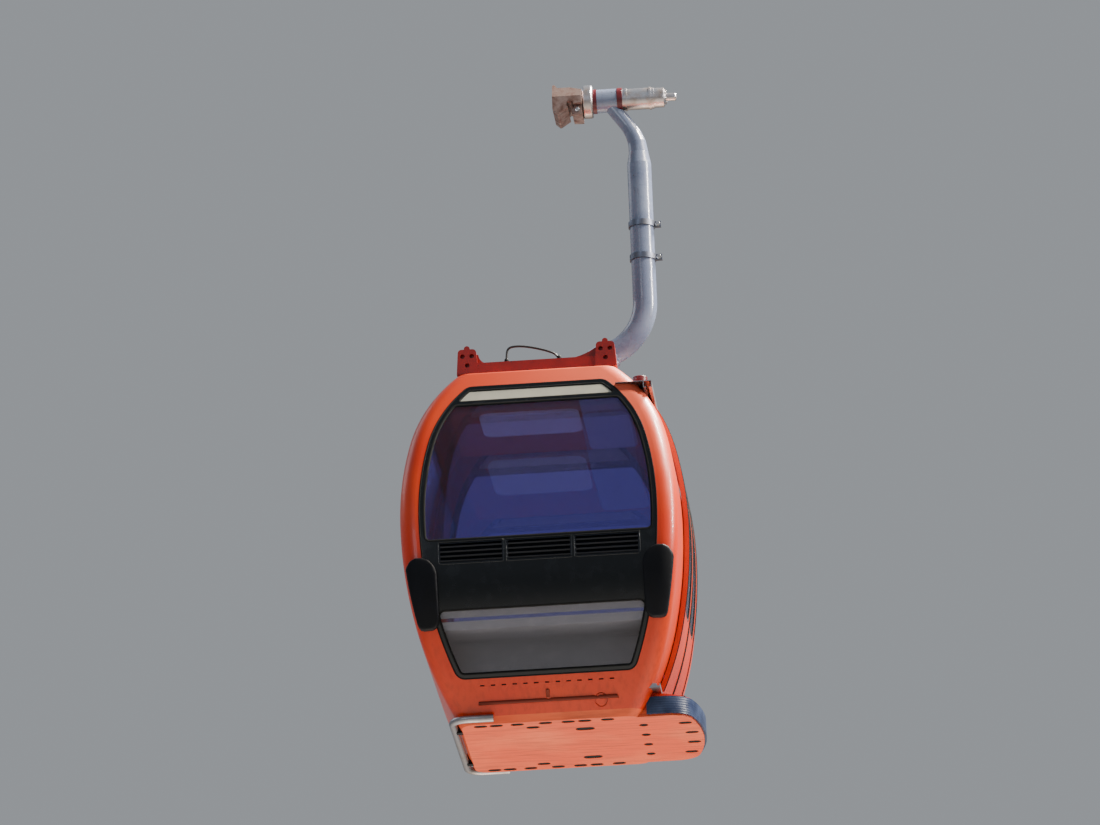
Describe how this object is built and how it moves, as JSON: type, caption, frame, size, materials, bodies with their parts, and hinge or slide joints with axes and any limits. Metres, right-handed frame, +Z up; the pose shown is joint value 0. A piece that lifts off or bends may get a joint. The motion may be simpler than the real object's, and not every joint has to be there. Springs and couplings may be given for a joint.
{
  "type": "cable car cabin with hanger and rope grip",
  "caption": "Gondola cabin with hanger and rope grip, rounded orange body, dark framed end windows, sliding doors, step, benches and roof frame.",
  "frame": {"origin": "centre of the rope clamp, on the axis of the rope", "axes": "+Z up, Y along the rope, +X out to the door side of the cabin"},
  "size_m": [1.6549, 1.804, 4.02],
  "materials": {
    "orange_paint": "gloss paint over moulded panels",
    "roof_red": "gloss paint on steel",
    "hanger_grey": "satin paint on steel tube",
    "grip_steel": "machined and galvanised",
    "jaw_steel": "worn forged steel",
    "ring_red": "cast polyurethane",
    "frame_black": "dark gel coat",
    "tinted_glass": "tinted acrylic",
    "low_glass": "smoked acrylic",
    "strip_grey": "pale translucent strip",
    "vent_black": "moulded plastic",
    "rubber": "moulded rubber",
    "step_rubber": "blue grey extruded rubber",
    "aluminium": "extruded, worn",
    "seat": "moulded seat shell",
    "floor_cover": "studded sheet",
    "ceiling_white": "smooth panel",
    "lead_black": "rubber sheath"
  },
  "bodies": {
    "grip": {"grip_cap": "grip_steel", "grip_rings": "ring_red", "grip_shaft": "grip_steel", "jaw_fixed": "jaw_steel", "jaw_moving": "jaw_steel", "spring_housing": "grip_steel", "thrust_disc": "grip_steel"},
    "cabin": {"base_pan": "orange_paint", "benches": "seat", "ceiling": "ceiling_white", "corner_pads": "rubber", "corner_post_front_left": "orange_paint", "corner_post_front_right": "orange_paint", "corner_post_rear_left": "orange_paint", "corner_post_rear_right": "orange_paint", "door_lever": "grip_steel", "door_rail_bottom": "aluminium", "door_rail_top": "aluminium", "end_frame_front": "frame_black", "end_frame_rear": "frame_black", "end_panel_front": "orange_paint", "end_panel_rear": "orange_paint", "end_windows": "tinted_glass", "floor": "floor_cover", "guide_brackets": "rubber", "guide_rail": "aluminium", "hanger_clamps": "grip_steel", "hanger_foot": "hanger_grey", "hanger_head": "hanger_grey", "hanger_tube": "hanger_grey", "lever_roller": "ring_red", "low_windows": "low_glass", "middle_bars": "roof_red", "roof_bar_front": "roof_red", "roof_bar_rear": "roof_red", "roof_lead": "lead_black", "roof_mounts": "rubber", "roof_rails": "roof_red", "roof_shell": "orange_paint", "side_panel_left": "orange_paint", "side_wall_right": "orange_paint", "side_window_left": "tinted_glass", "step": "orange_paint", "step_bumper": "step_rubber", "transom_strips": "strip_grey", "vents": "vent_black"},
    "door_front": {"door_hangers_front": "aluminium", "door_leaf_front": "orange_paint", "door_window_front": "tinted_glass"},
    "door_rear": {"door_hangers_rear": "aluminium", "door_leaf_rear": "orange_paint", "door_window_rear": "tinted_glass"}
  },
  "joints": [
    {"name": "hanger_swing", "type": "hinge", "parent": "grip", "child": "cabin", "pos_m": [0.213, 0, 0.052], "axis": [1, 0, 0], "range_deg": [-28, 28]},
    {"name": "door_front_slide", "type": "slide", "parent": "cabin", "child": "door_front", "axis": [0, -1, 0], "range_m": [0, 0.32]},
    {"name": "door_rear_slide", "type": "slide", "parent": "cabin", "child": "door_rear", "axis": [0, 1, 0], "range_m": [0, 0.32]}
  ],
  "couplings": [
    {"joint": "door_rear_slide", "follows": "door_front_slide", "ratio": 1}
  ]
}
